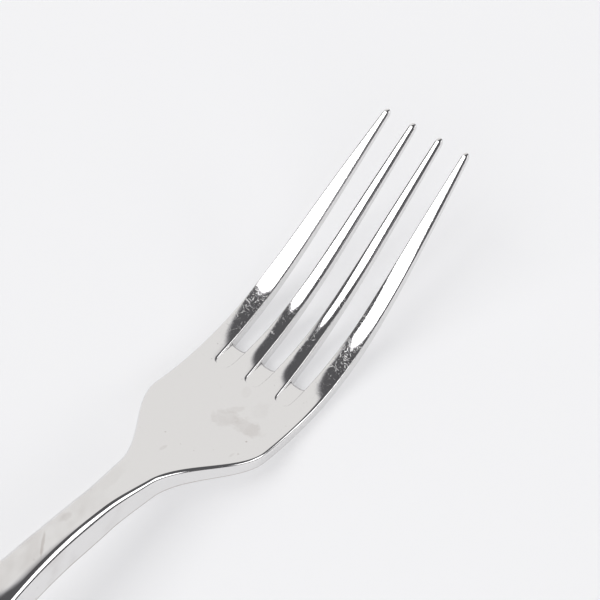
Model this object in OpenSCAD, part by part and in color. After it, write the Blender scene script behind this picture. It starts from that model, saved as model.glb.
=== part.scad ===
// Dinner fork lying on a table with its hollow side up.
// X runs from the end of the handle to the tips of the tines, Y to the fork's left, Z up.
// The table is at Z = 0, and the origin is under the middle of the fork.
// The whole fork is one forging, so the sub-parts meet face to face with no gap.

/* [Whole fork] */
// Length over the table, from the end of the handle to the tips
overall_length = 200; // [180:1:225]
// Width over the palm, which is the widest part of the head
head_width = 25.3; // [22:0.1:30]
// Depth of the flats on which the palm and the handle's heel rest
rest_depth = 0.15; // [0.05:0.01:0.3]

/* [Bends seen from the side] */
// Rise of the tines above the table, in degrees
tine_angle = 30.7; // [24:0.1:36]
// Slope of the palm and neck down to the belly, in degrees
palm_angle = 17.7; // [12:0.1:22]
// Middle of the belly's bend, forward from the slot ends
belly_place = 8.3; // [5:0.1:14]
// Length of the belly's bend
belly_bend = 51; // [40:1:60]
// Middle of the neck's arch, back from the slot ends
arch_place = 59.5; // [54:0.5:68]
// Length of the neck's arch
arch_bend = 70; // [50:1:80]
// Middle of the bend that levels the heel, forward from the handle's end
heel_place = 16; // [12:0.5:22]
// Length of the bend that levels the heel
heel_bend = 20; // [12:1:24]

/* [Tines] */
// Length of a tine, from the end of its slot to its tip
tine_length = 52.5; // [44:0.5:58]
// Distance between the middles of the slots at their ends
slot_pitch = 6.9; // [5.9:0.05:7.6]
// Width of a slot at its end
slot_width = 2.85; // [2.2:0.05:3.4]
// Gap between the straight stretches of two tines
gap_width = 4; // [3.6:0.05:4.8]
// Length over which a slot opens out to the gap
gap_run = 21; // [14:1:30]
// Gap between two tips
tip_gap = 4.75; // [4.3:0.05:5.6]
// Distance between the middles of two gaps at the tips
tip_pitch = 5.95; // [5.6:0.05:6.6]
// Width over the tips of the outer tines
tip_spread = 18.9; // [17.5:0.1:21]
// Thickness of a tine at its tip
tip_thickness = 1.2; // [0.9:0.05:1.8]
// Length of a tine's rounded point
tip_round = 1; // [0.8:0.1:2.2]
// Length of the sloping floor at the end of each slot
ramp_length = 5.8; // [4:0.1:7.5]
// Depth that the sloping floor reaches where the slot breaks through
ramp_depth = 0.8; // [0.4:0.05:1.6]

/* [Palm] */
// Length of the palm and shoulders, from the slot ends back to the neck
palm_length = 33; // [30:0.5:36]
// Thickness of the palm
palm_thickness = 2.65; // [2.2:0.05:3.6]
// Depth of the hollow across the palm
palm_dish = 0.3; // [0:0.05:0.6]
// Middle of the shoulders' curve, back from the slot ends
shoulder_place = 20.3; // [18.5:0.1:23]
// Length of the shoulders' curve
shoulder_run = 19.3; // [17:0.1:26]
// Middle of the stretch on which the neck thins to the palm, back from the slot ends
thinning_place = 29.5; // [26:0.5:33]
// Length of the stretch on which the neck thins to the palm
thinning_run = 36; // [28:1:42]
// Radius of the palm's edges
palm_edge = 0.55; // [0.2:0.05:0.8]
// Length past the slot ends at which the palm gives way to the tines
root_length = 9.1; // [8:0.1:12]

/* [Neck] */
// Length of the neck
neck_length = 41; // [34:1:48]
// Width of the neck's top face at its slimmest
neck_top = 5.6; // [4:0.1:7]
// How far each side of the neck slants out from top to bottom
neck_flare = 1.45; // [0.4:0.05:1.8]
// Thickness of the neck
neck_thickness = 4.85; // [3.8:0.05:6]
// Radius of the neck's upper edges
neck_edge = 1.2; // [0.4:0.05:1.4]
// Radius of the lower edges
lower_edge = 0.5; // [0.2:0.05:0.8]

/* [Handle] */
// Greatest width of the handle
handle_width = 20; // [15:0.5:24]
// Thickness of the handle at its end
handle_thickness = 3; // [2.2:0.1:4]
// Middle of the handle's widening, forward from its end
widening_place = 57; // [50:1:62]
// Length of the handle's widening
widening_run = 88; // [70:1:90]
// Length of the rounded end
end_round = 10; // [7:0.5:13]
// Height of the crown along the handle's top
handle_crown = 0.7; // [0:0.05:1]
// Radius of the handle's upper edges
handle_edge = 1.2; // [0.6:0.05:1.4]

/* [Hidden] */
steel = [0.80, 0.80, 0.79];

// Sizes of the sub-parts that need no slider
handle_flare = 0.3;
foot_width = 1.05;
foot_run = 14;
under_crown = 0.25;
tine_crown = 0.12;
tine_edge = 0.25;
slot_edge = 0.12;
overrun = 5;

// Shapes of the curves
tip_draw_share = 1.9;
tip_gap_share = 4;
round_share = 2.2;
blunt_share = 0.006;
blunt_edge_share = 0.12;
edge_limit_share = 0.46;

// Counts of rings along the sub-parts and of points round a ring
handle_rings = 26;
end_rings = 9;
neck_rings = 16;
palm_rings = 30;
tine_rings = 20;
tip_rings = 6;
corner_points = 4;
wide_points = 7;
narrow_points = 1;
slot_points = 8;

// Places along X
x_end = -overall_length / 2;
tip_lean = sin(tine_angle) * tip_thickness * (1 + end_factor(0, tip_round, blunt_edge_share)) / 2;
x_tip = overall_length / 2 - tip_lean;
x_slot = x_tip - tine_length;
x_root = x_slot + root_length;
x_shoulder = x_slot - palm_length;
x_neck = x_shoulder - neck_length;
x_belly = x_slot + belly_place;
x_arch = x_slot - arch_place;
x_heel = x_end + heel_place;
side_round = handle_thickness / 2;

// Curves that start and end level
function step_up(s) = s <= 0 ? 0 : s >= 1 ? 1 : s * s * (3 - 2 * s);
function blend(x, place, run) = step_up((x - place) / run + 1 / 2);
function ramp(d, run) =
    let(s = d / run + 1 / 2)
    s <= 0 ? 0 : s >= 1 ? d : run * (s * s * s - s * s * s * s / 2);

// Line of the fork's top seen from the side, before it is set on the table
tine_slope = tan(tine_angle);
palm_slope = tan(palm_angle);
function head_line(x) =
    tine_slope * ramp(x - x_belly, belly_bend) + palm_slope * ramp(x_belly - x, belly_bend);
belly_points = 60;
belly_level = min([for (i = [0:belly_points])
    let(x = x_belly - belly_bend / 2 + belly_bend * i / belly_points)
    head_line(x) - thickness(x) - under(x)]);
// The handle falls just as steeply as it must for its heel to reach the belly's level
handle_slope = (palm_slope * (x_belly - x_arch) - belly_level - handle_thickness - under_crown)
    / (x_arch - x_heel);
base = -belly_level - rest_depth;
function top_line(x) =
    base + head_line(x)
    - (palm_slope + handle_slope) * ramp(x_arch - x, arch_bend)
    + handle_slope * ramp(x_heel - x, heel_bend);
function top_slope(x) =
    tine_slope * blend(x, x_belly, belly_bend) - palm_slope * blend(x_belly, x, belly_bend)
    + (palm_slope + handle_slope) * blend(x_arch, x, arch_bend)
    - handle_slope * blend(x_heel, x, heel_bend);

// Outline seen from above
function widening(x) = blend(x_end + widening_place, x, widening_run);
function shoulders(x) = blend(x, x_slot - shoulder_place, shoulder_run);
function thinning(x) = blend(x, x_slot - thinning_place, thinning_run);
function end_factor(d, length, blunt) =
    let(s = min(1, (d / length + blunt) / (1 + blunt)))
    pow(1 - pow(1 - s, round_share), 1 / round_share);
function half_width(x) =
    end_factor(x - x_end, end_round, blunt_share)
    * (neck_top / 2 + (handle_width - neck_top) / 2 * widening(x)
       + foot_width * blend(x, x_shoulder, foot_run)
       + ((head_width - neck_top) / 2 - foot_width) * shoulders(x)
       - (head_width - tip_spread) / 2
         * pow(max(0, (x - x_slot) / tine_length), tip_draw_share));
function side_flare(x) =
    end_factor(x - x_end, end_round, blunt_share)
    * (neck_flare * (1 - thinning(x)) - (neck_flare - handle_flare) * widening(x));

// Thickness, crown and edge radius along the fork
function along_tine(x) = max(0, min(1, (x - x_root) / (x_tip - x_root)));
function thickness(x) =
    palm_thickness + (neck_thickness - palm_thickness) * (1 - thinning(x))
    - (neck_thickness - handle_thickness) * widening(x)
    - (palm_thickness - tip_thickness) * along_tine(x);
function dish(x) =
    palm_dish * thinning(x) * blend(x_slot + root_length / 2, x, root_length);
function crown(x) = handle_crown * widening(x) - dish(x);
function under(x) = under_crown * widening(x) + dish(x);
function edge(x) =
    palm_edge + (neck_edge - palm_edge) * (1 - thinning(x))
    + (handle_edge - neck_edge) * widening(x);

// Gaps between the tines: their middles and half widths
function gap_middle(x) = slot_pitch + (tip_pitch - slot_pitch) * (x - x_slot) / tine_length;
function gap_half(x) =
    let(d = x - x_slot - slot_width / 2, s = max(0, min(1, d / gap_run)))
    (slot_width + (gap_width - slot_width) * s * (2 - s)
     + (tip_gap - gap_width) * pow(max(0, d / tine_length), tip_gap_share)) / 2;

// Points of an arc that rounds the corner p between the points a and b
function unit_to(p, a) = (a - p) / norm(a - p);
function rounded_corner(a, p, b, r) =
    let(u = unit_to(p, a), v = unit_to(p, b),
        half = acos(u * v) / 2,
        centre = p + (u + v) / norm(u + v) * r / sin(half),
        from = p + u * r / tan(half) - centre,
        to = p + v * r / tan(half) - centre,
        turn = acos(from * to / (r * r)),
        sense = sign(from[0] * to[1] - from[1] * to[0]))
    [for (i = [0:corner_points])
        let(q = sense * turn * i / corner_points)
        centre + [from[0] * cos(q) - from[1] * sin(q), from[0] * sin(q) + from[1] * cos(q)]];

// One closed ring across the fork, as [y, height under the top line]
function between(a, b, n) = [for (i = [1:n]) a + (b - a) * i / (n + 1)];
function ring(left, right, left_low, right_low, depth, radii, bow, under_bow, n) =
    let(a = [left, 0], b = [right, 0], c = [right_low, -depth], d = [left_low, -depth],
        limit = edge_limit_share * min(depth, left - right),
        r = [for (q = radii) min(q, limit)],
        ca = rounded_corner(d, a, b, r[0]), cb = rounded_corner(a, b, c, r[1]),
        cc = rounded_corner(b, c, d, r[2]), cd = rounded_corner(c, d, a, r[3]),
        flat = concat(ca, between(ca[corner_points], cb[0], n), cb,
                      cc, between(cc[corner_points], cd[0], n), cd),
        middle = (left + right) / 2, reach = (left - right) / 2)
    [for (p = flat)
        let(up = 1 + p[1] / depth,
            side = min(1, abs(p[0] - middle) / reach),
            bulge = 1 - side * side)
        [p[0], p[1] + bulge * (bow * up - under_bow * (1 - up))]];

// Sets a ring square to the top line at x, thinned about its middle by a factor
function placed(x, points, depth, factor) =
    let(s = top_slope(x), k = sqrt(1 + s * s))
    [for (p = points)
        let(h = -depth / 2 + (p[1] + depth / 2) * factor)
        [x - s * h / k, p[0], top_line(x) + h / k]];

function body_ring(x) =
    let(w = half_width(x), low = w + side_flare(x), t = thickness(x), e = edge(x),
        factor = end_factor(x - x_end, side_round, blunt_edge_share))
    placed(x, ring(w, -w, low, -low, t, [e, e, lower_edge, lower_edge],
                   crown(x), under(x), wide_points), t, factor);

function tine_ring(x, inner) =
    let(factor = end_factor(x_tip - x, tip_round, blunt_edge_share),
        left_full = inner ? gap_middle(x) - gap_half(x) : half_width(x),
        right_full = inner ? gap_half(x) : gap_middle(x) + gap_half(x),
        middle = (left_full + right_full) / 2,
        reach = (left_full - right_full) / 2 * factor,
        share = step_up((x - x_root) / root_length),
        near = slot_edge + (tine_edge - slot_edge) * share,
        far = inner ? near : palm_edge + (tine_edge - palm_edge) * share,
        t = thickness(x))
    placed(x, ring(middle + reach, middle - reach, middle + reach, middle - reach, t,
                   [far, near, near, far], tine_crown * share, 0, narrow_points), t, factor);

// Solid through a list of rings
module loft(rings) {
    n = len(rings[0]);
    last = (len(rings) - 1) * n;
    polyhedron(
        points = [for (r = rings) each r],
        faces = concat(
            [[for (i = [0:n - 1]) i]],
            [for (k = [0:len(rings) - 2], i = [0:n - 1])
                let(j = (i + 1) % n, a = k * n + i, b = k * n + j)
                each [[a, a + n, b + n], [a, b + n, b]]],
            [[for (i = [n - 1:-1:0]) last + i]]));
}

// Keeps what lies above the table
module above_table() {
    intersection() {
        children();
        translate([-overall_length, -overall_length, 0])
            cube([2, 2, 1] * overall_length);
    }
}

// Places from a to b, evenly spaced
function spaced(a, b, n) = [for (i = [0:n]) a + (b - a) * i / n];

module handle() {
    near_end = [for (i = [0:end_rings]) x_end + end_round * pow(i / end_rings, 2)];
    rest = spaced(x_end + end_round, x_neck, handle_rings - end_rings);
    places = concat(near_end, [for (i = [1:len(rest) - 1]) rest[i]]);
    color(steel) above_table() loft([for (x = places) body_ring(x)]);
}

module neck() {
    color(steel) loft([for (x = spaced(x_neck, x_shoulder, neck_rings)) body_ring(x)]);
}

// Everything above the sloping floors and past the places where the slots break through
module above_ramp() {
    x_floor = x_slot + ramp_length;
    floor_level = top_line(x_floor) - ramp_depth;
    drop = (top_line(x_slot) - floor_level) / ramp_length;
    rotate([90, 0, 0])
        linear_extrude(height = 2 * head_width, center = true)
            polygon([
                [x_slot - overrun, top_line(x_slot) + overrun * drop],
                [x_floor, floor_level],
                [x_floor, -overrun],
                [x_root + 2 * overrun, -overrun],
                [x_root + 2 * overrun, top_line(x_slot) + 2 * overrun],
                [x_slot - overrun, top_line(x_slot) + 2 * overrun]]);
}

// Outline of one slot: a round end, then walls that open out towards the tips
module slot_outline(side) {
    r = slot_width / 2;
    x_centre = x_slot + r;
    walls = spaced(x_centre, x_root + overrun, slot_points);
    round_end = [for (i = [0:2 * slot_points]) 90 + 180 * i / (2 * slot_points)];
    polygon(concat(
        [for (q = round_end) [x_centre + r * cos(q), side * slot_pitch + r * sin(q)]],
        [for (x = walls) if (x > x_centre) [x, side * gap_middle(x) - gap_half(x)]],
        [for (i = [len(walls) - 1:-1:1]) [walls[i], side * gap_middle(walls[i]) + gap_half(walls[i])]]));
}

module palm() {
    color(steel) difference() {
        above_table() loft([for (x = spaced(x_shoulder, x_root, palm_rings)) body_ring(x)]);
        for (side = [-1, 0, 1])
            intersection() {
                translate([0, 0, -overrun])
                    linear_extrude(height = 4 * overrun) slot_outline(side);
                above_ramp();
            }
    }
}

module tine(inner) {
    x_point = x_tip - tip_round;
    straight = spaced(x_root, x_point, tine_rings);
    point = [for (i = [1:tip_rings]) x_tip - tip_round * pow(1 - i / tip_rings, 2)];
    color(steel) loft([for (x = concat(straight, point)) tine_ring(x, inner)]);
}

module left_outer_tine() {
    tine(false);
}

module left_inner_tine() {
    tine(true);
}

module right_inner_tine() {
    mirror([0, 1, 0]) tine(true);
}

module right_outer_tine() {
    mirror([0, 1, 0]) tine(false);
}

handle();
neck();
palm();
left_outer_tine();
left_inner_tine();
right_inner_tine();
right_outer_tine();
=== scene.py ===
"""Polished steel dinner fork on a white table, hollow side up."""
import math
from functools import lru_cache

import bpy
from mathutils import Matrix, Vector


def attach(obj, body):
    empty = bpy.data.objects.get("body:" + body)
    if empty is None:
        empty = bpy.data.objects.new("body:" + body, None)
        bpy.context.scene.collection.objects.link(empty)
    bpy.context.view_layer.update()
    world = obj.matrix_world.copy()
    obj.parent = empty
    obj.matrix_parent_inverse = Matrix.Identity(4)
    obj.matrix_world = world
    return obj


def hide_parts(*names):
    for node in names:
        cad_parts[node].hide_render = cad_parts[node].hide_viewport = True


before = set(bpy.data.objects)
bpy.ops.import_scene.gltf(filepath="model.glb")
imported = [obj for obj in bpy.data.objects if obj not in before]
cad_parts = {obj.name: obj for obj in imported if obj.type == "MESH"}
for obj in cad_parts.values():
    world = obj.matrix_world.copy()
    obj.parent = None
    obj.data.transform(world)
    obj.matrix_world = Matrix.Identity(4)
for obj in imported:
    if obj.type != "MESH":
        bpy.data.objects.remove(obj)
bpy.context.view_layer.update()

MM = 0.001

# Sizes of the forging in millimetres and degrees, the same as in the solids
OVERALL_LENGTH, HEAD_WIDTH, REST_DEPTH = 200.0, 25.3, 0.15
TINE_ANGLE, PALM_ANGLE = 30.7, 17.7
BELLY_PLACE, BELLY_BEND = 8.3, 51.0
ARCH_PLACE, ARCH_BEND = 59.5, 70.0
HEEL_PLACE, HEEL_BEND = 16.0, 20.0
TINE_LENGTH, SLOT_PITCH, SLOT_WIDTH = 52.5, 6.9, 2.85
GAP_WIDTH, GAP_RUN, TIP_GAP, TIP_PITCH = 4.0, 21.0, 4.75, 5.95
TIP_SPREAD, TIP_THICKNESS, TIP_ROUND = 18.9, 1.2, 1.0
RAMP_LENGTH, RAMP_DEPTH = 5.8, 0.8
PALM_LENGTH, PALM_THICKNESS, PALM_DISH, PALM_EDGE, ROOT_LENGTH = 33.0, 2.65, 0.3, 0.55, 9.1
SHOULDER_PLACE, SHOULDER_RUN = 20.3, 19.3
THINNING_PLACE, THINNING_RUN = 29.5, 36.0
NECK_LENGTH, NECK_TOP, NECK_FLARE, NECK_THICKNESS, NECK_EDGE = 41.0, 5.6, 1.45, 4.85, 1.2
LOWER_EDGE = 0.5
HANDLE_WIDTH, HANDLE_THICKNESS, WIDENING_PLACE, WIDENING_RUN = 20.0, 3.0, 57.0, 88.0
END_ROUND, HANDLE_CROWN, HANDLE_EDGE, HANDLE_FLARE = 10.0, 0.7, 1.2, 0.3
FOOT_WIDTH, FOOT_RUN, UNDER_CROWN = 1.05, 14.0, 0.25
INNER_CROWN, TINE_EDGE = 0.12, 0.25
TIP_DRAW_SHARE, TIP_GAP_SHARE, ROUND_SHARE = 1.9, 4.0, 2.2
# How blunt the solids' tips are, which sets where the fork's tip lies, and the scene's own ends
SOLID_BLUNT_SHARE, BLUNT_SHARE = 0.12, 0.0005
# Largest share of a thickness or width that the rounding of an edge takes
EDGE_LIMIT = 0.46

# Finer forms than the solids have. The polishing wheel rolls every edge over a little, rounds
# the neck's top and flattens the outer tines.
BUFF_DEPTH, BUFF_REACH = 0.07, 1.9
NECK_CROWN, NECK_CROWN_PLACE, NECK_CROWN_RUN = 0.18, 38.0, 26.0
OUTER_CROWN, CROWN_LAG = 0.095, 3.0
# How much flatter the rounding of the neck's rim is, and the rounding of a slot's upper edge
BEVEL_FLAT, SLOT_EDGE = 0.3, 0.4
# How fast the rounding of a slot's lower edges grows behind the place where it breaks through
LOW_EDGE_GROWTH = 0.2
# Width of the rounded lip where a slot breaks through, and how far it bows back
LIP, LIP_BOW = 0.35, 0.5
# The right tines are crowned more near their roots, and lean a little to the left there
BENT_CROWN, BENT_PLACE, BENT_RUN = 0.14, 24.0, 16.0
INNER_LEAN, OUTER_LEAN, LEAN_START, LEAN_PLACE, LEAN_RUN = 0.08, 0.17, 14.0, 29.0, 20.0

# How finely the skin is divided
BELLY_STEPS, TOP_COLUMNS, ARC_STEPS, WALL_STEPS, FLOOR_COLUMNS = 60, 10, 8, 4, 12
END_STEPS, HANDLE_STEPS, NECK_STEPS, PALM_STEPS = 30, 64, 50, 56
TURN_STEPS, FLOOR_STEPS, ROOT_STEPS, TINE_STEPS, TIP_STEPS = 16, 10, 8, 60, 14
# Points in one cell of a fine grid are one vertex. The grid is shifted, so that no even size
# falls between two cells.
CELLS_PER_MM, CELL_SHIFT = 20000, 0.137

# Colours and finishes of the steel, the colour of its stains and of the painted shade on its lower
# edges, the table and the white that the camera sees of the table
STEEL_COLOUR, STAIN_AND_SHADE_COLOUR = (0.795, 0.788, 0.785, 1.0), (0.36, 0.305, 0.275, 1.0)
TABLE_COLOUR, TABLE_ROUGHNESS, TABLE_SHEEN = (0.90, 0.90, 0.905, 1.0), 0.6, 0.2
PAPER_COLOUR, PAPER_LIGHT = (0.98, 0.98, 1.0, 1.0), 0.97
# Share of that white in what the camera and the steel see of the table
TABLE_WHITE = 0.50
# Half the table's side in metres
TABLE_HALF = 2.0

# The steel's noises: length, width, turn and detail of the grain in millimetres and degrees, and
# the two values between which a mask rises
WOBBLE_GRAIN = (1.1, 1.1, 0.0, 3.0)
MOTTLE_GRAIN, MOTTLE_RISE, MOTTLE_LEAST = (3.2, 2.2, 30.0, 3.0), (0.38, 0.62), 0.65
TARNISH_GRAIN, TARNISH_RISE, TARNISH_END = (9, 5, 20.0), (0.42, 0.70), (-4.0, 20.0)
SPECK_GRAIN, SPECK_RISE = (0.27, 0.22), (0.58, 0.80)
WEAR_GRAIN, WEAR_RISE = (5, 4), (0.45, 0.62)
RIPPLE_GRAIN, WHEEL_GRAIN, HAZE_GRAIN = (0.55, 0.45, 0.0, 1.0), (16, 0.12), (6, 6)
SCRATCH_LENGTH, SCRATCH_WIDTH, SCRATCH_RISE = 1.8, 0.2, (0.69, 0.81)
SCRATCH_TURNS = (14.0, 52.0, 83.0, 148.0)
MARK_EDGE = (0.55, 1.15)
PIT_SPACING, PIT_EDGE = 2.0, (0.03, 0.07)
# Dried marks on the top face: place along and across, half length, half width, turn, strength
DRIED_MARKS = ((37.9, -1.9, 2.5, 2.3, -25.0, 0.16), (38.9, -6.1, 2.0, 3.3, 0.0, 0.21),
               (40.6, -1.7, 2.4, 0.8, -33.0, 0.12), (24.5, 0.6, 1.0, 0.4, 0.0, 0.12),
               (31.8, -8.7, 0.9, 0.3, 0.0, 0.12), (36.1, -8.3, 0.22, 0.22, 0.0, 0.5),
               (32.7, -9.3, 0.26, 0.24, 0.0, 0.4), (27.8, 2.9, 0.2, 0.2, 0.0, 0.3),
               (-5.4, -0.1, 2.9, 0.3, 36.0, 0.5), (1.2, 1.1, 1.4, 0.8, 10.0, 0.22),
               (-52.0, 2.5, 3.0, 1.6, 0.0, 0.10), (-78.0, -3.0, 0.25, 0.25, 0.0, 0.4),
               (-66.0, 4.4, 0.9, 0.5, 0.0, 0.12), (45.3, -0.8, 1.6, 0.9, 30.0, 0.07),
               (43.6, -5.4, 2.2, 1.5, 10.0, 0.06), (13.0, 1.6, 4.5, 1.2, 8.0, 0.06))
# Painted shade on the lower edges, standing in for their reflection of the table's shade: where
# the neck's slanting sides start, how far these face upwards, the facings between which an edge is
# painted darker, and where the painted shade ends before the slots
SLANT_START, SLANT_FACING = (-40.0, -5.0), 0.22
EDGE_SHADE_TOP, EDGE_SHADE_FOOT, EDGE_SHADE_END = (-0.08, 0.0), (-0.98, -0.90), 6.0
# Shares of tarnish, pits and the painted edge shade in the steel's darker colour
TARNISH_SHARE, PIT_SHARE, EDGE_SHADE_SHARE = 0.22, 0.3, 0.8
# Fine wear on the tines rises between the first of these distances, past the slots' ends, and
# the second, past the tines' roots. That of the roots fades out between the last two.
TINE_WEAR_START, TINE_WEAR_FULL, ROOT_WEAR_END = 5, 4, (20, 29)
# Share of wear everywhere, in patches and towards the sides, and where the sides start
LEAST_WEAR, PATCHY_WEAR, SIDE_WEAR, SIDE_WEAR_RISE = 0.3, 0.6, 0.5, (5.0, 9.0)
# Depths of the relief in millimetres
SCRATCH_DEPTH, ROOT_SCRATCH_DEPTH = 0.001, 0.0010
RIPPLE_DEPTH, TINE_RIPPLE_DEPTH, ROOT_RIPPLE_DEPTH = 0.0010, 0.0015, 0.0008
WHEEL_DEPTH, PIT_DEPTH = 0.0004, 0.004
# Roughness of clean steel, and what haze, stains and scratches add to it
STEEL_ROUGHNESS, HAZE_ROUGHNESS, STAIN_ROUGHNESS = 0.045, 0.04, 0.12
SCRATCH_ROUGHNESS, ROOT_SCRATCH_ROUGHNESS = 0.05, 0.30

# Brightness of the studio's parts
DARK_LIGHT, TENT_LIGHT, SOFTBOX_LIGHT, WINDOW_LIGHT = 0.11, 0.90, 3.6, 3.0
FILL_LIGHT, SWEEP_LIGHT = 2.7, 0.90
DARK_COLOUR, TENT_COLOUR = (0.98, 0.97, 1.02, 1.0), (1.0, 0.99, 0.98, 1.0)
WHITE = (1.0, 1.0, 1.0, 1.0)
# Places of the tent and the softbox, as distances ahead and to the left on a ceiling one high
LEAST_HEIGHT = 0.02
TENT_AHEAD, TENT_LEFT, TENT_SLANT, TENT_SOFT = 0.28, 0.43, 0.63, 0.06
TENT_SIDE = (0.12, 0.38)
SOFTBOX_AHEAD, SOFTBOX_LEFT, SOFTBOX_SOFT = (-1.3, -0.13), (0.10, 1.0), 0.03
CORNER_PLACE, CORNER_SLANT, CORNER_CUT = 0.36, 0.30, 0.954
# Heights and directions in degrees, counted from ahead towards the left
TENT_END, TENT_END_SOFT = 88, 5
WINDOW_TURN, WINDOW_SIDES, WINDOW_SOFT, WINDOW_SLANT = -58, (-29, 20), 3, 0.23
WINDOW_FOOT, WINDOW_TOP = (16, 20), (31.5, 35.5)
FILL_TURN, FILL_SIDES, FILL_HEIGHTS, FILL_SOFT = 205, (-36, 36), (10, 48), 6
# Sine or angle of the height over which the tent's foot and the sweep's edge fade
TENT_FOOT, SWEEP_EDGE = (0.0, 0.05), (0.02, 0.06)

# The camera in metres, and its focal length and picture in pixels
CAMERA_PLACE, CAMERA_AIM = (-0.11184, -0.13641, 0.29503), (0.06943, 0.00598, 0.0)
FOCAL_PIXELS, PICTURE_PIXELS, SENSOR_WIDTH = 2006, 600, 36.0
CLIP_START, CLIP_END = 0.01, 20

TINES = ("left_outer_tine", "left_inner_tine", "right_inner_tine", "right_outer_tine")


def step_up(s):
    """Smooth step from 0 to 1"""
    s = min(1.0, max(0.0, s))
    return s * s * (3 - 2 * s)


def blend(x, place, run):
    """0 before a place and 1 after it, smooth over a run"""
    return step_up((x - place) / run + 0.5)


def ramp(d, run):
    """0 before a bend and d after it, smooth over a run"""
    s = d / run + 0.5
    return 0.0 if s <= 0 else d if s >= 1 else run * (s ** 3 - s ** 4 / 2)


def end_factor(d, length, blunt):
    """Share of the full size at a distance from a rounded end"""
    s = min(1.0, (max(0.0, d) / length + blunt) / (1 + blunt))
    return (1 - (1 - s) ** ROUND_SHARE) ** (1 / ROUND_SHARE)


TINE_SLOPE = math.tan(math.radians(TINE_ANGLE))
PALM_SLOPE = math.tan(math.radians(PALM_ANGLE))
X_END = -OVERALL_LENGTH / 2
X_TIP = OVERALL_LENGTH / 2 - (math.sin(math.radians(TINE_ANGLE)) * TIP_THICKNESS
                              * (1 + end_factor(0, TIP_ROUND, SOLID_BLUNT_SHARE)) / 2)
X_SLOT = X_TIP - TINE_LENGTH
X_ROOT = X_SLOT + ROOT_LENGTH
X_SHOULDER = X_SLOT - PALM_LENGTH
X_NECK = X_SHOULDER - NECK_LENGTH
X_BELLY = X_SLOT + BELLY_PLACE
X_ARCH = X_SLOT - ARCH_PLACE
X_HEEL = X_END + HEEL_PLACE
X_HOLE = X_SLOT + RAMP_LENGTH
SLOT_RADIUS = SLOT_WIDTH / 2
X_CENTRE = X_SLOT + SLOT_RADIUS
# Share of a slot's wall that lies above the level of the sloping floor's end
LEVEL_SHARE = (RAMP_DEPTH - SLOT_EDGE) / (PALM_THICKNESS - SLOT_EDGE)
X_POLE = X_SLOT - SLOT_EDGE


# Outline, thickness and hollow of the fork at a place x
@lru_cache(None)
def widening(x):
    return blend(X_END + WIDENING_PLACE, x, WIDENING_RUN)


@lru_cache(None)
def thinning(x):
    return blend(x, X_SLOT - THINNING_PLACE, THINNING_RUN)


@lru_cache(None)
def half_width(x):
    draw = max(0.0, (x - X_SLOT) / TINE_LENGTH) ** TIP_DRAW_SHARE
    full = (NECK_TOP / 2 + (HANDLE_WIDTH - NECK_TOP) / 2 * widening(x)
            + FOOT_WIDTH * blend(x, X_SHOULDER, FOOT_RUN)
            + ((HEAD_WIDTH - NECK_TOP) / 2 - FOOT_WIDTH)
            * blend(x, X_SLOT - SHOULDER_PLACE, SHOULDER_RUN)
            - (HEAD_WIDTH - TIP_SPREAD) / 2 * draw)
    return full * end_factor(x - X_END, END_ROUND, BLUNT_SHARE)


@lru_cache(None)
def side_flare(x):
    return (end_factor(x - X_END, END_ROUND, BLUNT_SHARE)
            * (NECK_FLARE * (1 - thinning(x)) - (NECK_FLARE - HANDLE_FLARE) * widening(x)))


@lru_cache(None)
def thickness(x):
    along = max(0.0, min(1.0, (x - X_ROOT) / (X_TIP - X_ROOT)))
    return (PALM_THICKNESS + (NECK_THICKNESS - PALM_THICKNESS) * (1 - thinning(x))
            - (NECK_THICKNESS - HANDLE_THICKNESS) * widening(x)
            - (PALM_THICKNESS - TIP_THICKNESS) * along)


@lru_cache(None)
def dish(x):
    return PALM_DISH * thinning(x) * blend(X_SLOT + ROOT_LENGTH / 2, x, ROOT_LENGTH)


@lru_cache(None)
def edge(x):
    return (PALM_EDGE + (NECK_EDGE - PALM_EDGE) * (1 - thinning(x))
            + (HANDLE_EDGE - NECK_EDGE) * widening(x))


@lru_cache(None)
def tine_share(x):
    return step_up((x - X_ROOT) / ROOT_LENGTH)


@lru_cache(None)
def crown_share(x):
    return step_up((x - X_CENTRE) / (X_ROOT - X_CENTRE + CROWN_LAG))


@lru_cache(None)
def bent_share(x):
    return (step_up((x - X_ROOT) / (ROOT_LENGTH - CROWN_LAG))
            * blend(X_SLOT + BENT_PLACE, x, BENT_RUN))


@lru_cache(None)
def lean_share(x):
    return (step_up((x - X_ROOT) / LEAN_START)
            * blend(X_SLOT + LEAN_PLACE, x, LEAN_RUN))


@lru_cache(None)
def gap_middle(x):
    along = max(0.0, x - X_CENTRE) / (X_TIP - X_CENTRE)
    return SLOT_PITCH + (TIP_PITCH - SLOT_PITCH) * along


@lru_cache(None)
def gap_half(x):
    d = max(0.0, x - X_CENTRE)
    s = min(1.0, d / GAP_RUN)
    return (SLOT_WIDTH + (GAP_WIDTH - SLOT_WIDTH) * s * (2 - s)
            + (TIP_GAP - GAP_WIDTH) * (d / TINE_LENGTH) ** TIP_GAP_SHARE) / 2


# Line of the fork's top seen from the side
def head_line(x):
    return TINE_SLOPE * ramp(x - X_BELLY, BELLY_BEND) + PALM_SLOPE * ramp(X_BELLY - x, BELLY_BEND)


BELLY_LEVEL = min(head_line(x) - thickness(x) - dish(x)
                  for x in (X_BELLY - BELLY_BEND / 2 + BELLY_BEND * i / BELLY_STEPS
                            for i in range(BELLY_STEPS + 1)))
HANDLE_SLOPE = ((PALM_SLOPE * (X_BELLY - X_ARCH) - BELLY_LEVEL - HANDLE_THICKNESS - UNDER_CROWN)
                / (X_ARCH - X_HEEL))


@lru_cache(None)
def top_line(x):
    return (head_line(x) - BELLY_LEVEL - REST_DEPTH
            - (PALM_SLOPE + HANDLE_SLOPE) * ramp(X_ARCH - x, ARCH_BEND)
            + HANDLE_SLOPE * ramp(X_HEEL - x, HEEL_BEND))


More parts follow.
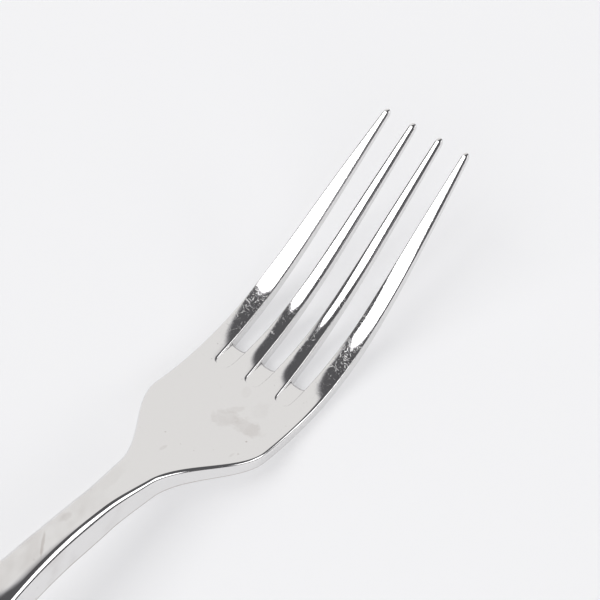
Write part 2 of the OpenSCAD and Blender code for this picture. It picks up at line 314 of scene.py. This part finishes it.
@lru_cache(None)
def top_slope(x):
    return (TINE_SLOPE * blend(x, X_BELLY, BELLY_BEND) - PALM_SLOPE * blend(X_BELLY, x, BELLY_BEND)
            + (PALM_SLOPE + HANDLE_SLOPE) * blend(X_ARCH, x, ARCH_BEND)
            - HANDLE_SLOPE * blend(X_HEEL, x, HEEL_BEND))


# Rounding of the edges
def slot_edge(x):
    return SLOT_EDGE + (TINE_EDGE - SLOT_EDGE) * tine_share(x)


def squeeze(x):
    """How far the thickness and a tine's width close up at the two ends"""
    if x > 0:
        return end_factor(X_TIP - x, TIP_ROUND, BLUNT_SHARE)
    return end_factor(x - X_END, HANDLE_THICKNESS / 2, BLUNT_SHARE)


def rim_distance(x, y):
    """Distance in plan from the nearest edge of the top face"""
    nearest = half_width(x) - abs(y)
    if x > X_SLOT - 2 * BUFF_REACH:
        for side in (-1, 0, 1):
            if x < X_CENTRE:
                away = math.hypot(x - X_CENTRE, y - side * SLOT_PITCH) - SLOT_RADIUS
            else:
                away = abs(y - side * gap_middle(x)) - gap_half(x)
            nearest = min(nearest, away)
    return max(0.0, nearest)


def strip_of(x, y):
    """Middle and half width of the tine at y"""
    middle, half = gap_middle(x), gap_half(x)
    if abs(y) > middle:
        inner, outer = middle + half, half_width(x)
    else:
        inner, outer = half, middle - half
    return math.copysign((inner + outer) / 2, y), (outer - inner) / 2


def on_fork(x, y, depth):
    """Point at a depth under the top face, measured square to the fork's line"""
    t = thickness(x)
    up = 1 - depth / t
    across = min(1.0, abs(y) / half_width(x))
    bulge = 1 - across * across
    rise = (HANDLE_CROWN * widening(x) - dish(x)) * bulge
    rise += NECK_CROWN * blend(X_SLOT - NECK_CROWN_PLACE, x, NECK_CROWN_RUN) * (bulge - 0.5)
    sag = (UNDER_CROWN * widening(x) + dish(x)) * bulge
    if x > X_CENTRE:
        middle, reach = strip_of(x, y)
        off = max(-1.0, min(1.0, (y - middle) / reach))
        inner = abs(y) < gap_middle(x)
        crown, lean = (INNER_CROWN, INNER_LEAN) if inner else (OUTER_CROWN, OUTER_LEAN)
        rise += crown * crown_share(x) * (1 - off * off)
        if y < 0:
            rise += bent_share(x) * BENT_CROWN * (1 - off * off) - lean_share(x) * lean * off
    buff = max(0.0, 1 - rim_distance(x, y) / BUFF_REACH)
    rise -= BUFF_DEPTH * buff * buff
    h = -depth + rise * up - sag * (1 - up)
    shrink = squeeze(x)
    h = -t / 2 + (h + t / 2) * shrink
    if shrink < 1 and x > 0:
        middle, reach = strip_of(x, y)
        y = middle + (y - middle) * shrink
    s = top_slope(x)
    k = math.hypot(1, s)
    return (x - s * h / k, y, max(0.0, top_line(x) + h / k))


def rounded_corner(a, p, b, radius, steps, bevel=0.0):
    """Curve that rounds the corner p between a and b, flatter as the bevel grows"""
    a, p, b = Vector(a), Vector(p), Vector(b)
    u, v = (a - p).normalized(), (b - p).normalized()
    half = math.acos(max(-1.0, min(1.0, u.dot(v)))) / 2
    reach = radius / math.tan(half)
    start, end = p + u * reach, p + v * reach
    pull = math.sin(half) * (1 - BEVEL_FLAT * bevel)
    points = []
    for i in range(steps + 1):
        s = i / steps
        shares = (1 - s) ** 2, 2 * pull * s * (1 - s), s * s
        points.append(tuple((start * shares[0] + p * shares[1] + end * shares[2]) / sum(shares)))
    return points


def between(a, b, steps):
    return [tuple(p + (q - p) * i / steps for p, q in zip(a, b)) for i in range(1, steps)]


def outer_side(x, side):
    """From the top face over the outer edge and down to the underside, as (x, y, depth)"""
    w, t = half_width(x), thickness(x)
    low = w + side_flare(x)
    limit = EDGE_LIMIT * min(t, 2 * w)
    if x > X_ROOT:
        limit = EDGE_LIMIT * min(t, 2 * strip_of(x, w)[1])
    share = tine_share(x)
    upper_radius = min(limit, edge(x) + (TINE_EDGE - edge(x)) * share)
    lower_radius = min(limit, LOWER_EDGE + (TINE_EDGE - LOWER_EDGE) * share)
    bevel = (1 - thinning(x)) * (1 - widening(x))
    top = rounded_corner((0, 0), (w, 0), (low, t), upper_radius, ARC_STEPS, bevel)
    foot = rounded_corner((w, 0), (low, t), (0, t), lower_radius, ARC_STEPS)
    wall = between(top[-1], foot[0], WALL_STEPS)
    return [(x, side * y, depth) for y, depth in top + wall + foot]


def slot_wall(x, side, hand, turn=None):
    """A slot's wall from the top face to the sloping floor's level, and on to the underside"""
    if turn is None:
        toward, rim = (0.0, hand), (x, side * gap_middle(x) + hand * gap_half(x))
    else:
        toward = (-math.cos(turn), hand * math.sin(turn))
        rim = (X_CENTRE + SLOT_RADIUS * toward[0], side * SLOT_PITCH + SLOT_RADIUS * toward[1])
    t = thickness(x)
    radius = slot_edge(x)
    if x > X_ROOT:
        radius = min(radius, EDGE_LIMIT * min(t, 2 * strip_of(x, rim[1])[1]))
    low_radius = max(0.0, min(radius, (x - X_HOLE) * LOW_EDGE_GROWTH))
    foot = (rim[0], rim[1], t - low_radius)
    level = radius + (foot[2] - radius) * LEVEL_SHARE
    if x < X_HOLE:
        level = RAMP_DEPTH * max(0.0, rim[0] - X_SLOT) / RAMP_LENGTH
    drop = min(radius, level)
    upper, lower = [], [(rim[0], rim[1], level)]
    for i in range(ARC_STEPS + 1):
        q = math.pi / 2 * i / ARC_STEPS
        out = radius * (1 - math.sin(q))
        upper.append((rim[0] + toward[0] * out, rim[1] + toward[1] * out,
                      drop * (1 - math.cos(q))))
    upper += between(upper[-1], lower[0], WALL_STEPS) + lower
    lower += between(lower[0], foot, WALL_STEPS)
    for i in range(ARC_STEPS + 1):
        q = math.pi / 2 * i / ARC_STEPS
        lower.append((rim[0], rim[1] + hand * low_radius * (1 - math.cos(q)),
                      foot[2] + low_radius * math.sin(q)))
    return upper, lower


def columns(a, b, steps):
    """Points from a to b, closer together near both"""
    return [tuple(p + (q - p) * (1 - math.cos(math.pi * i / steps)) / 2 for p, q in zip(a, b))
            for i in range(steps + 1)]


def bowed(row):
    """Bows a row across a slot's floor back towards the palm, the more the nearer the lip"""
    along = max(0.0, (row[0][0] - X_CENTRE) / (X_HOLE - X_CENTRE))
    middle = (row[0][1] + row[-1][1]) / 2
    half = max(0.01, abs(row[0][1] - row[-1][1]) / 2)
    return [(x - LIP_BOW * along ** 2 * (1 - abs((y - middle) / half) ** 4), y, depth)
            for x, y, depth in row]


class Skin:
    """Quads of the whole forging, each with the zone that it belongs to"""

    def __init__(self):
        self.points, self.index = [], {}
        self.faces, self.zones, self.surfaces = [], [], []

    def vertex(self, place):
        spot = on_fork(*place)
        key = tuple(round(c * CELLS_PER_MM + CELL_SHIFT) for c in spot)
        if key not in self.index:
            self.index[key] = len(self.points)
            self.points.append(tuple(c * MM for c in spot))
        return self.index[key]

    def sheet(self, rows, zone, flip=False, surface="outside"):
        """Joins each row of places to the next"""
        ids = [[self.vertex(p) for p in row] for row in rows]
        for below, above in zip(ids, ids[1:]):
            for i in range(len(below) - 1):
                corners = [below[i], below[i + 1], above[i + 1], above[i]]
                face = [c for k, c in enumerate(corners) if c != corners[k - 1]]
                if len(set(face)) > 2:
                    self.faces.append(tuple(reversed(face)) if flip else tuple(face))
                    self.zones.append(zone)
                    self.surfaces.append(surface)


def spaced(a, b, steps):
    return [a + (b - a) * i / steps for i in range(steps + 1)]


def body_zone(skin, places, zone):
    """The undivided part of the fork, behind the slots"""
    left = [outer_side(x, 1) for x in places]
    right = [outer_side(x, -1) for x in places]
    skin.sheet(left, zone, flip=True)
    skin.sheet(right, zone)
    pole = outer_side(X_POLE, 1)
    for place, flip in ((0, False), (-1, True)):
        share = SLOT_PITCH / pole[place][1]
        cuts = (1.0, share, 0.0, -share, -1.0)
        for a, b in zip(cuts, cuts[1:]):
            skin.sheet([columns((x, a * side[place][1], side[place][2]),
                                (x, b * side[place][1], side[place][2]), TOP_COLUMNS)
                        for x, side in zip(places, left)], zone, flip=flip)


def slot_reach(x, turn):
    """Half width of a slot at a station"""
    return SLOT_RADIUS * math.sin(turn) if turn is not None else gap_half(x)


def strip_side(x, turn, slot, hand):
    """One side of a strip: down a slot's wall, or over the fork's outer edge"""
    if abs(slot) < 2:
        return slot_wall(x, slot, hand, turn)
    rim = outer_side(x, -hand)
    return rim, [rim[-1]]


def slot_floor(skin, stations, walls, lip_wall, slot, zone):
    """A slot's sloping floor, the underside below it and the small wall at its lip"""
    floors, bands = [], []
    for (x, turn), wall in zip(stations, walls):
        if x > X_HOLE:
            break
        a = wall[-1]
        m, t, reach = slot * gap_middle(x), thickness(x), slot_reach(x, turn)
        floors.append(bowed(columns(a, (a[0], 2 * m - a[1], a[2]), FLOOR_COLUMNS)))
        bands.append(bowed(columns((x, m + reach, t), (x, m - reach, t), FLOOR_COLUMNS)))
    end_wall = [bowed(columns((x, y, depth), (x, 2 * m - y, depth), FLOOR_COLUMNS))
                for x, y, depth in lip_wall[len(floors) - 1]]
    skin.sheet(floors, zone, surface="slot_floor")
    skin.sheet(bands, zone, flip=True)
    skin.sheet(end_wall, zone, surface="slot_floor")


def head_zone(skin, stations, zones):
    """The four strips beside the slots, from the slots' ends to the tips"""
    open_rows = [i for i, (x, turn) in enumerate(stations) if x >= X_HOLE]
    for k, zone in enumerate(zones):
        left_slot, right_slot = 2 - k, 1 - k
        left, left_low = zip(*(strip_side(x, turn, left_slot, -1) for x, turn in stations))
        right, right_low = zip(*(strip_side(x, turn, right_slot, 1) for x, turn in stations))
        skin.sheet(left, zone, flip=True)
        skin.sheet(right, zone)
        skin.sheet([columns(a[0], b[0], TOP_COLUMNS) for a, b in zip(left, right)], zone)
        unders = []
        for (x, turn), left_foot, right_foot in zip(stations, left_low, right_low):
            a, b, t = left_foot[-1][1], right_foot[-1][1], thickness(x)
            if x < X_HOLE and k > 0:
                a = left_slot * gap_middle(x) - slot_reach(x, turn)
            if x < X_HOLE and k < 3:
                b = right_slot * gap_middle(x) + slot_reach(x, turn)
            unders.append(columns((x, a, t), (x, b, t), TOP_COLUMNS))
        skin.sheet(unders, zone, flip=True)
        if k > 0:
            skin.sheet([left_low[i] for i in open_rows], zone, flip=True)
        if k < 3:
            skin.sheet([right_low[i] for i in open_rows], zone)
            if stations[0][0] < X_HOLE:
                slot_floor(skin, stations, right, right_low, right_slot, zone)


def whole_fork():
    """The skin of the whole forging, open only at the handle's end and at the tips"""
    skin = Skin()
    handle = [X_END + END_ROUND * (i / END_STEPS) ** 2 for i in range(END_STEPS + 1)]
    handle += spaced(X_END + END_ROUND, X_NECK, HANDLE_STEPS)[1:]
    body_zone(skin, handle, "handle")
    body_zone(skin, spaced(X_NECK, X_SHOULDER, NECK_STEPS), "neck")
    body_zone(skin, spaced(X_SHOULDER, X_POLE, PALM_STEPS), "palm")
    turns = [math.pi / 2 * i / TURN_STEPS for i in range(TURN_STEPS)]
    stations = [(X_CENTRE - (SLOT_RADIUS + SLOT_EDGE) * math.cos(q), q) for q in turns]
    stations += [(x, None) for x in spaced(X_CENTRE, X_HOLE - LIP, FLOOR_STEPS) + [X_HOLE]]
    stations += [(x, None) for x in spaced(X_HOLE, X_ROOT, ROOT_STEPS)[1:]]
    head_zone(skin, stations, ["palm"] * 4)
    tines = spaced(X_ROOT, X_TIP - TIP_ROUND, TINE_STEPS)
    tines += [X_TIP - TIP_ROUND * (1 - i / TIP_STEPS) ** 2 for i in range(1, TIP_STEPS + 1)]
    head_zone(skin, [(x, None) for x in tines], TINES)
    return skin


def open_loops(faces):
    """The loops of edges that only one face uses, turned so that each closes its hole"""
    edges = {(f[i - 1], f[i]) for f in faces for i in range(len(f))}
    follow = {b: a for a, b in edges if (b, a) not in edges}
    loops = []
    while follow:
        start, at = follow.popitem()
        loop = [start]
        while at != start:
            loop.append(at)
            at = follow.pop(at)
        loops.append(tuple(loop))
    return loops


def close_ends(skin):
    """Closes the small flats at the handle's end and at the tips"""
    zone_at = {c: z for f, z in zip(skin.faces, skin.zones) for c in f}
    for loop in open_loops(skin.faces):
        skin.faces.append(loop)
        skin.zones.append(zone_at[loop[0]])
        skin.surfaces.append("outside")


def whole_normals(skin):
    """Normal of every face corner of the undivided skin, so that no seam shows between zones"""
    mesh = bpy.data.meshes.new("whole_skin")
    mesh.from_pydata(skin.points, [], skin.faces)
    sums = {}
    for polygon, surface in zip(mesh.polygons, skin.surfaces):
        for corner in polygon.vertices:
            key = (corner, surface)
            sums[key] = sums.get(key, Vector()) + polygon.normal * polygon.area
    normals = [tuple(sums[corner, surface].normalized())
               for face, surface in zip(skin.faces, skin.surfaces) for corner in face]
    bpy.data.meshes.remove(mesh)
    return normals


def forge(skin, zone, normals, material):
    """One closed piece from the faces of a zone, with caps where it meets its neighbours"""
    faces, kept, at = [], [], 0
    for face, name in zip(skin.faces, skin.zones):
        if name == zone:
            faces.append(face)
            kept += normals[at:at + len(face)]
        at += len(face)
    caps = open_loops(faces)
    used = sorted({c for f in faces for c in f})
    number = {c: i for i, c in enumerate(used)}
    mesh = bpy.data.meshes.new(zone)
    mesh.from_pydata([skin.points[c] for c in used], [],
                     [tuple(number[c] for c in f) for f in faces + caps])
    mesh.shade_smooth()
    for cap in range(len(faces), len(faces) + len(caps)):
        polygon = mesh.polygons[cap]
        kept += [tuple(polygon.normal)] * polygon.loop_total
    mesh.normals_split_custom_set(kept)
    mesh.materials.append(material)
    piece = bpy.data.objects.new("polished_" + zone, mesh)
    bpy.context.scene.collection.objects.link(piece)
    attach(piece, "root")
    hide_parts(zone)


class Socket:
    """A socket of a shader, on which Python's operators add Math nodes"""

    def __init__(self, tree, out):
        self.tree, self.out = tree, out

    def maths(self, operation, *values):
        return self.tree.node("ShaderNodeMath", {"operation": operation},
                              {i: v for i, v in enumerate(values)})

    def __add__(self, other):
        return self.maths("ADD", self, other)

    __radd__ = __add__

    def __sub__(self, other):
        return self.maths("SUBTRACT", self, other)

    def __rsub__(self, other):
        return self.maths("SUBTRACT", other, self)

    def __mul__(self, other):
        return self.maths("MULTIPLY", self, other)

    __rmul__ = __mul__

    def __truediv__(self, other):
        return self.maths("DIVIDE", self, other)

    def __pow__(self, other):
        return self.maths("POWER", self, other)

    def rise(self, low, high):
        """0 below low, 1 above high, smooth between"""
        return self.tree.node("ShaderNodeMapRange", {"interpolation_type": "SMOOTHSTEP"},
                              {"Value": self, "From Min": low, "From Max": high})

    def size(self):
        return self.maths("ABSOLUTE", self)

    def least(self, other):
        return self.maths("MINIMUM", self, other)

    def most(self, other):
        return self.maths("MAXIMUM", self, other)


class Shader:
    """A material's or the world's node tree"""

    def __init__(self, owner):
        owner.use_nodes = True
        self.nodes, self.links = owner.node_tree.nodes, owner.node_tree.links
        self.nodes.clear()

    def node(self, kind, settings, sockets, output=0):
        made = self.nodes.new(kind)
        for name, value in settings.items():
            setattr(made, name, value)
        for name, value in sockets.items():
            if isinstance(value, Socket):
                self.links.new(value.out, made.inputs[name])
            else:
                made.inputs[name].default_value = value
        return Socket(self, made.outputs[output]) if made.outputs else None

    def parts(self, vector):
        split = self.nodes.new("ShaderNodeSeparateXYZ")
        self.links.new(vector.out, split.inputs[0])
        return [Socket(self, out) for out in split.outputs]


def polished_steel():
    """Stainless steel off the polishing wheel, with wiping scratches, pits and dried marks, and
    painted shade on its lower edges
    """
    material = bpy.data.materials.new("polished_steel")
    shader = Shader(material)
    metres = shader.node("ShaderNodeTexCoord", {}, {}, "Object")
    place = shader.node("ShaderNodeVectorMath", {"operation": "SCALE"}, {0: metres, 3: 1 / MM})
    x, y, _ = shader.parts(place)

    def noise(long, wide, turn=0.0, detail=2.0):
        """Noise with grains of long by wide millimetres that lie along a direction in degrees"""
        grain = shader.node("ShaderNodeMapping", {"vector_type": "TEXTURE"}, {
            "Vector": place, "Rotation": (0, 0, math.radians(turn)), "Scale": (long, wide, wide)})
        return shader.node("ShaderNodeTexNoise", {}, {
            "Vector": grain, "Scale": 1.0, "Detail": detail})

    wobble = noise(*WOBBLE_GRAIN) - 0.5
    mottle = MOTTLE_LEAST + (1 - MOTTLE_LEAST) * noise(*MOTTLE_GRAIN).rise(*MOTTLE_RISE)
    marks = 0.0
    for mark_x, mark_y, half_long, half_wide, mark_turn, strength in DRIED_MARKS:
        cosine, sine = math.cos(math.radians(mark_turn)), math.sin(math.radians(mark_turn))
        off_x = ((x - mark_x) * cosine + (y - mark_y) * sine) / half_long
        off_y = ((y - mark_y) * cosine - (x - mark_x) * sine) / half_wide
        away = (off_x * off_x + off_y * off_y) ** 0.5 + wobble
        marks = (1 - away.rise(*MARK_EDGE)) * strength * mottle + marks
    cells = shader.node("ShaderNodeTexVoronoi", {}, {"Vector": place, "Scale": 1 / PIT_SPACING})
    pits = 1 - cells.rise(*PIT_EDGE)
    tarnish = noise(*TARNISH_GRAIN).rise(*TARNISH_RISE) * (1 - x.rise(*TARNISH_END))
    # Painted shade: the lower edges are painted darker than the faces beside them
    slanting = x.rise(*SLANT_START) * (1 - x.rise(X_SLOT - THINNING_PLACE - THINNING_RUN / 2,
                                                  X_SLOT - THINNING_PLACE + THINNING_RUN / 2))
    facing_up = shader.parts(shader.node("ShaderNodeNewGeometry", {}, {}, "Normal"))[2]
    painted_edge_shade = ((1 - (facing_up - slanting * SLANT_FACING).rise(*EDGE_SHADE_TOP))
                 * facing_up.rise(*EDGE_SHADE_FOOT) * (1 - x.rise(X_SLOT - EDGE_SHADE_END, X_SLOT)))
    # Real stains, tarnish and pits, and the painted shade of the lower edges, together darken the
    # steel's colour and roughen it
    stains_and_shade = (marks + tarnish * TARNISH_SHARE + pits * PIT_SHARE
              + painted_edge_shade * EDGE_SHADE_SHARE).least(1.0)

    tines = x.rise(X_SLOT + TINE_WEAR_START, X_ROOT + TINE_WEAR_FULL)
    roots = tines * (1 - x.rise(*(X_SLOT + end for end in ROOT_WEAR_END)))
    scratches = 0.0
    for turn in SCRATCH_TURNS:
        line = noise(SCRATCH_LENGTH, SCRATCH_WIDTH, turn, 0.0)
        scratches = line.rise(*SCRATCH_RISE) + scratches
    scratches = scratches + noise(*SPECK_GRAIN).rise(*SPECK_RISE)
    # The outer tines rub against other cutlery more than the inner ones
    wear = (LEAST_WEAR + PATCHY_WEAR * noise(*WEAR_GRAIN).rise(*WEAR_RISE)
            + SIDE_WEAR * y.size().rise(*SIDE_WEAR_RISE))
    scratches = scratches * wear.least(1.0)
    depth = (scratches * (SCRATCH_DEPTH + ROOT_SCRATCH_DEPTH * roots)
             + noise(*RIPPLE_GRAIN) * (RIPPLE_DEPTH + TINE_RIPPLE_DEPTH * tines
                                       + ROOT_RIPPLE_DEPTH * roots)
             + noise(*WHEEL_GRAIN) * WHEEL_DEPTH - pits * PIT_DEPTH)
    relief = shader.node("ShaderNodeBump", {}, {"Height": depth, "Distance": MM, "Strength": 1.0})
    roughness = (STEEL_ROUGHNESS + HAZE_ROUGHNESS * noise(*HAZE_GRAIN) + STAIN_ROUGHNESS * stains_and_shade
                 + (SCRATCH_ROUGHNESS + ROOT_SCRATCH_ROUGHNESS * roots) * scratches)
    colour = shader.node("ShaderNodeMix", {"data_type": "RGBA"}, {
        0: stains_and_shade, 6: STEEL_COLOUR, 7: STAIN_AND_SHADE_COLOUR}, 2)
    surface = shader.node("ShaderNodeBsdfPrincipled", {}, {
        "Base Color": colour, "Metallic": 1.0, "Roughness": roughness, "Normal": relief})
    shader.node("ShaderNodeOutputMaterial", {}, {"Surface": surface})
    return material


def white_table():
    material = bpy.data.materials.new("white_table")
    shader = Shader(material)
    matt = shader.node("ShaderNodeBsdfPrincipled", {}, {
        "Base Color": TABLE_COLOUR, "Roughness": TABLE_ROUGHNESS,
        "Specular IOR Level": TABLE_SHEEN})
    paper = shader.node("ShaderNodeEmission", {}, {"Color": PAPER_COLOUR, "Strength": PAPER_LIGHT})
    seen = shader.node("ShaderNodeLightPath", {}, {}, "Is Camera Ray")
    for ray in ("Is Glossy Ray", "Is Transmission Ray"):
        seen = seen.most(shader.node("ShaderNodeLightPath", {}, {}, ray))
    surface = shader.node("ShaderNodeMixShader", {}, {0: seen * TABLE_WHITE, 1: matt, 2: paper})
    shader.node("ShaderNodeOutputMaterial", {}, {"Surface": surface})
    mesh = bpy.data.meshes.new("table")
    r = TABLE_HALF
    mesh.from_pydata([(-r, -r, 0), (r, -r, 0), (r, r, 0), (-r, r, 0)], [], [(0, 1, 2, 3)])
    mesh.materials.append(material)
    table = bpy.data.objects.new("table", mesh)
    bpy.context.scene.collection.objects.link(table)


def studio():
    """A grey tent ahead of the fork, softboxes on its left and behind, a window on its right"""
    world = bpy.data.worlds.new("studio")
    bpy.context.scene.world = world
    shader = Shader(world)
    direction = shader.node("ShaderNodeTexCoord", {}, {}, "Generated")
    dx, dy, dz = shader.parts(direction)
    height = dz.maths("ARCSINE", dz)
    up = dz.most(LEAST_HEIGHT)
    ahead, left = dx / up, dy / up

    def turn_from(degrees):
        """Angle round the fork, counted from a direction in degrees"""
        cosine, sine = math.cos(math.radians(degrees)), math.sin(math.radians(degrees))
        return dz.maths("ARCTAN2", dy * cosine - dx * sine, dx * cosine + dy * sine)

    def radians(*degrees):
        return [math.radians(value) for value in degrees]

    def within(value, low, high, soft):
        return value.rise(low - soft, low + soft) * (1 - value.rise(high - soft, high + soft))

    tent = (ahead - TENT_AHEAD + (left - TENT_LEFT) * TENT_SLANT).rise(-TENT_SOFT, TENT_SOFT)
    tent = (tent * left.rise(*TENT_SIDE) * height.rise(*TENT_FOOT)
            * (1 - turn_from(TENT_END).rise(*radians(-TENT_END_SOFT, TENT_END_SOFT))))
    # The softbox's near corner is cut off slantwise
    corner = ((left - CORNER_PLACE) * CORNER_SLANT
              - (ahead - SOFTBOX_AHEAD[1]) * CORNER_CUT).rise(-SOFTBOX_SOFT, SOFTBOX_SOFT)
    softbox = (within(ahead, *SOFTBOX_AHEAD, SOFTBOX_SOFT)
               * within(left, *SOFTBOX_LEFT, SOFTBOX_SOFT) * corner)
    # The window's top slopes down to its far side
    window_turn = turn_from(WINDOW_TURN)
    window_top = height - window_turn * WINDOW_SLANT
    window = (within(window_turn, *radians(*WINDOW_SIDES, WINDOW_SOFT))
              * height.rise(*radians(*WINDOW_FOOT))
              * (1 - window_top.rise(*radians(*WINDOW_TOP))))
    fill = (within(turn_from(FILL_TURN), *radians(*FILL_SIDES, FILL_SOFT))
            * within(height, *radians(*FILL_HEIGHTS, FILL_SOFT)))
    sweep = 1 - dz.rise(*SWEEP_EDGE)
    light = DARK_LIGHT + (TENT_LIGHT - DARK_LIGHT) * tent
    for part, strength in ((softbox, SOFTBOX_LIGHT), (window, WINDOW_LIGHT),
                           (fill, FILL_LIGHT), (sweep, SWEEP_LIGHT)):
        light = light + (strength - light) * part
    bright = softbox.most(window).most(fill).most(sweep)
    shade = shader.node("ShaderNodeMix", {"data_type": "RGBA"}, {
        0: tent, 6: DARK_COLOUR, 7: TENT_COLOUR}, 2)
    colour = shader.node("ShaderNodeMix", {"data_type": "RGBA"}, {
        0: bright, 6: shade, 7: WHITE}, 2)
    backdrop = shader.node("ShaderNodeBackground", {}, {"Color": colour, "Strength": light})
    shader.node("ShaderNodeOutputWorld", {}, {"Surface": backdrop})


def camera():
    data = bpy.data.cameras.new("camera")
    data.sensor_width, data.lens = SENSOR_WIDTH, SENSOR_WIDTH * FOCAL_PIXELS / PICTURE_PIXELS
    data.clip_start, data.clip_end = CLIP_START, CLIP_END
    eye = bpy.data.objects.new("camera", data)
    bpy.context.scene.collection.objects.link(eye)
    eye.location = CAMERA_PLACE
    aim = Vector(CAMERA_AIM) - eye.location
    eye.rotation_euler = aim.to_track_quat("-Z", "Y").to_euler()
    bpy.context.scene.camera = eye


camera()
studio()
white_table()
skin = whole_fork()
close_ends(skin)
corner_normals = whole_normals(skin)
steel = polished_steel()
for name in ("handle", "neck", "palm") + TINES:
    forge(skin, name, corner_normals, steel)

bpy.context.scene.view_settings.view_transform = "Standard"
